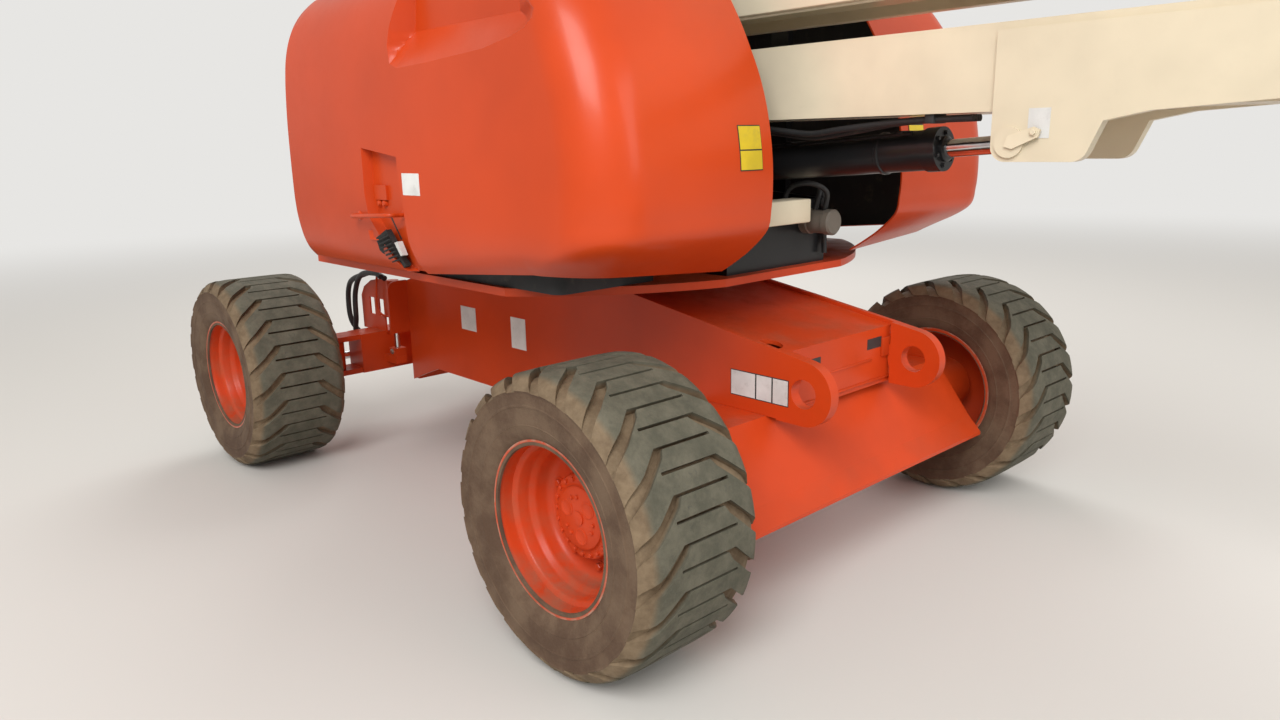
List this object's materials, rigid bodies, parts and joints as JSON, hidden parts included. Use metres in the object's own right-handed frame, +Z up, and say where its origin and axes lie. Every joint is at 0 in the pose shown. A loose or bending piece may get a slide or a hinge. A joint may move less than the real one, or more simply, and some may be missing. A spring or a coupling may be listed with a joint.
{
  "type": "articulating boom lift",
  "caption": "Wheeled aerial work platform: a turntable with hinged hoods carries a two-stage riser tower, a telescoping boom, a levelled jib and a railed platform.",
  "frame": {"origin": "ground level, middle of the stowed length and width", "axes": "+Z up, +X towards the stowed platform, +Y to the machine's left"},
  "size_m": [6.459, 2.33, 2.258],
  "materials": {
    "tyre_rubber": "dusty worn tread",
    "orange_paint": "satin paint, dusty",
    "hood_plastic": "glossy moulded shell",
    "cream_paint": "satin paint",
    "black_paint": "satin paint",
    "chrome_rod": "polished",
    "cast_dark": "rough cast",
    "tank_plastic": "matte moulding",
    "console_plastic": "fine grain"
  },
  "bodies": {
    "chassis": {"chassis_frame": "orange_paint", "drive_axle": "orange_paint", "steer_axle": "orange_paint", "steer_cylinder": "black_paint", "lockout_cylinders": "orange_paint", "slewing_ring": "cast_dark"},
    "knuckle_left": {"knuckle_left": "orange_paint"},
    "knuckle_right": {"knuckle_right": "orange_paint"},
    "steer_rod": {"steer_rod": "chrome_rod"},
    "turntable": {"turntable_frame": "cream_paint", "counterweight": "orange_paint", "engine_block": "cast_dark", "hydraulic_tank": "tank_plastic", "fuel_tank": "tank_plastic"},
    "hood_left": {"hood_left": "hood_plastic"},
    "hood_right": {"hood_right": "hood_plastic"},
    "lower_riser": {"lower_riser": "cream_paint"},
    "lower_link": {"lower_link": "cream_paint"},
    "mid_upright": {"mid_upright": "cream_paint"},
    "upper_riser": {"upper_riser": "cream_paint"},
    "upper_link": {"upper_link": "cream_paint"},
    "upright": {"upright": "cream_paint"},
    "main_boom": {"main_boom": "cream_paint"},
    "fly_boom": {"fly_boom": "cream_paint"},
    "tower_cylinder_barrel": {"tower_cylinder_barrel": "black_paint"},
    "tower_cylinder_rod": {"tower_cylinder_rod": "chrome_rod"},
    "lift_cylinder_barrel": {"lift_cylinder_barrel": "black_paint"},
    "lift_cylinder_rod": {"lift_cylinder_rod": "chrome_rod"},
    "jib_knuckle": {"jib_knuckle": "cream_paint"},
    "jib_arm": {"jib_arm": "cream_paint"},
    "jib_link": {"jib_link": "cream_paint"},
    "jib_cylinder_barrel": {"jib_cylinder_barrel": "black_paint"},
    "jib_cylinder_rod": {"jib_cylinder_rod": "chrome_rod"},
    "platform_mount": {"platform_mount": "black_paint"},
    "platform": {"platform_floor": "cream_paint", "platform_rails": "cream_paint", "platform_bracket": "black_paint", "control_console": "console_plastic"},
    "gate": {"platform_gate": "cream_paint"},
    "wheel_drive_left": {"tyre_drive_left": "tyre_rubber", "rim_drive_left": "orange_paint"},
    "wheel_drive_right": {"tyre_drive_right": "tyre_rubber", "rim_drive_right": "orange_paint"},
    "wheel_steer_left": {"tyre_steer_left": "tyre_rubber", "rim_steer_left": "orange_paint"},
    "wheel_steer_right": {"tyre_steer_right": "tyre_rubber", "rim_steer_right": "orange_paint"}
  },
  "joints": [
    {"name": "wheel_drive_left_turn", "type": "hinge", "parent": "chassis", "child": "wheel_drive_left", "pos_m": [-0.4505, 0.96, 0.419], "axis": [0, 1, 0], "continuous": true},
    {"name": "wheel_drive_right_turn", "type": "hinge", "parent": "chassis", "child": "wheel_drive_right", "pos_m": [-0.4505, -0.96, 0.419], "axis": [0, 1, 0], "continuous": true},
    {"name": "wheel_steer_left_turn", "type": "hinge", "parent": "knuckle_left", "child": "wheel_steer_left", "pos_m": [-2.8105, 0.96, 0.419], "axis": [0, 1, 0], "continuous": true},
    {"name": "wheel_steer_right_turn", "type": "hinge", "parent": "knuckle_right", "child": "wheel_steer_right", "pos_m": [-2.8105, -0.96, 0.419], "axis": [0, 1, 0], "continuous": true},
    {"name": "steering", "type": "hinge", "parent": "chassis", "child": "knuckle_right", "pos_m": [-2.8105, -0.64, 0.419], "axis": [0, 0, 1], "range_deg": [-35, 35]},
    {"name": "steering_left", "type": "hinge", "parent": "chassis", "child": "knuckle_left", "pos_m": [-2.8105, 0.64, 0.419], "axis": [0, 0, 1], "range_deg": [-35, 35]},
    {"name": "steer_rod_slide", "type": "slide", "parent": "chassis", "child": "steer_rod", "axis": [0, 1, 0], "range_m": [-0.10485, 0.10485]},
    {"name": "swing", "type": "hinge", "parent": "chassis", "child": "turntable", "pos_m": [-1.6305, 0, 0.944], "axis": [0, 0, 1], "range_deg": [-177.5, 177.5]},
    {"name": "hood_left_lift", "type": "hinge", "parent": "turntable", "child": "hood_left", "pos_m": [-1.6305, 0.333, 1.935], "axis": [1, 0, 0], "range_deg": [0, 60]},
    {"name": "hood_right_lift", "type": "hinge", "parent": "turntable", "child": "hood_right", "pos_m": [-1.6305, -0.333, 1.935], "axis": [-1, 0, 0], "range_deg": [0, 60]},
    {"name": "tower_lift", "type": "hinge", "parent": "turntable", "child": "lower_riser", "pos_m": [-2.4305, 0, 1.562], "axis": [0, -1, 0], "range_deg": [0, 55]},
    {"name": "lower_link_turn", "type": "hinge", "parent": "turntable", "child": "lower_link", "pos_m": [-2.4305, 0, 1.805], "axis": [0, -1, 0], "range_deg": [-1, 56]},
    {"name": "mid_upright_turn", "type": "hinge", "parent": "lower_riser", "child": "mid_upright", "pos_m": [1.0695, 0, 1.562], "axis": [0, -1, 0], "range_deg": [-56, 1]},
    {"name": "upper_riser_turn", "type": "hinge", "parent": "mid_upright", "child": "upper_riser", "pos_m": [1.0695, 0, 1.95], "axis": [0, -1, 0], "range_deg": [-56, 1]},
    {"name": "upper_link_turn", "type": "hinge", "parent": "mid_upright", "child": "upper_link", "pos_m": [1.0695, 0, 1.805], "axis": [0, -1, 0], "range_deg": [-56, 1]},
    {"name": "upright_turn", "type": "hinge", "parent": "upper_riser", "child": "upright", "pos_m": [-2.4305, 0, 1.95], "axis": [0, -1, 0], "range_deg": [-1, 56]},
    {"name": "tower_cylinder_turn", "type": "hinge", "parent": "turntable", "child": "tower_cylinder_barrel", "pos_m": [-1.3305, 0, 1.276], "axis": [0, -1, 0], "range_deg": [-1, 73.41]},
    {"name": "tower_cylinder_slide", "type": "slide", "parent": "tower_cylinder_barrel", "child": "tower_cylinder_rod", "axis": [0.9979, 0, 0.0644], "range_m": [-0.001, 0.86516]},
    {"name": "boom_lift", "type": "hinge", "parent": "upright", "child": "main_boom", "pos_m": [-2.5805, 0, 2.15], "axis": [0, -1, 0], "range_deg": [0, 75]},
    {"name": "lift_cylinder_turn", "type": "hinge", "parent": "upright", "child": "lift_cylinder_barrel", "pos_m": [-2.2805, 0, 1.905], "axis": [0, -1, 0], "range_deg": [-1, 78.22]},
    {"name": "lift_cylinder_slide", "type": "slide", "parent": "lift_cylinder_barrel", "child": "lift_cylinder_rod", "axis": [0.993, 0, 0.1181], "range_m": [-0.001, 0.4706]},
    {"name": "telescope", "type": "slide", "parent": "main_boom", "child": "fly_boom", "axis": [1, 0, 0], "range_m": [0, 1.4]},
    {"name": "jib_knuckle_turn", "type": "hinge", "parent": "fly_boom", "child": "jib_knuckle", "pos_m": [1.3095, 0, 2.15], "axis": [0, -1, 0], "range_deg": [-76, 1]},
    {"name": "jib_lift", "type": "hinge", "parent": "jib_knuckle", "child": "jib_arm", "pos_m": [1.4245, 0, 2.04], "axis": [0, -1, 0], "range_deg": [0, 145]},
    {"name": "jib_link_turn", "type": "hinge", "parent": "jib_knuckle", "child": "jib_link", "pos_m": [1.46637, 0, 1.83422], "axis": [0, -1, 0], "range_deg": [-1, 146]},
    {"name": "jib_cylinder_turn", "type": "hinge", "parent": "jib_knuckle", "child": "jib_cylinder_barrel", "pos_m": [1.46637, 0, 1.83422], "axis": [0, -1, 0], "range_deg": [-1, 144.43]},
    {"name": "jib_cylinder_slide", "type": "slide", "parent": "jib_cylinder_barrel", "child": "jib_cylinder_rod", "axis": [0.5538, 0, -0.8326], "range_m": [-0.001, 0.4007]},
    {"name": "platform_level_turn", "type": "hinge", "parent": "jib_arm", "child": "platform_mount", "pos_m": [2.02566, 0, 0.95547], "axis": [0, -1, 0], "range_deg": [-146, 1]},
    {"name": "platform_swivel", "type": "hinge", "parent": "platform_mount", "child": "platform", "pos_m": [2.1695, 0, 0.95547], "axis": [0, 0, 1], "range_deg": [-90, 90]},
    {"name": "gate_turn", "type": "hinge", "parent": "platform", "child": "gate", "pos_m": [3.0895, -0.894, 0.7], "axis": [0, 0, -1], "range_deg": [0, 90]}
  ],
  "couplings": [
    {"joint": "steering_left", "follows": "steering", "ratio": 1},
    {"joint": "steer_rod_slide", "follows": "steering", "m_per_rad": -0.17},
    {"joint": "lower_link_turn", "follows": "tower_lift", "ratio": 1},
    {"joint": "mid_upright_turn", "follows": "tower_lift", "ratio": -1},
    {"joint": "upper_riser_turn", "follows": "tower_lift", "ratio": -1},
    {"joint": "upper_link_turn", "follows": "tower_lift", "ratio": -1},
    {"joint": "upright_turn", "follows": "tower_lift", "ratio": 1},
    {"joint": "tower_cylinder_turn", "follows": "tower_lift", "ratio": 1.3165},
    {"joint": "tower_cylinder_slide", "follows": "tower_lift", "m_per_rad": 0.90023},
    {"joint": "lift_cylinder_turn", "follows": "boom_lift", "ratio": 1.0296},
    {"joint": "lift_cylinder_slide", "follows": "boom_lift", "m_per_rad": 0.35875},
    {"joint": "jib_knuckle_turn", "follows": "boom_lift", "ratio": -1},
    {"joint": "jib_link_turn", "follows": "jib_lift", "ratio": 1},
    {"joint": "jib_cylinder_turn", "follows": "jib_lift", "ratio": 0.98919},
    {"joint": "jib_cylinder_slide", "follows": "jib_lift", "m_per_rad": 0.15794},
    {"joint": "platform_level_turn", "follows": "jib_lift", "ratio": -1}
  ]
}
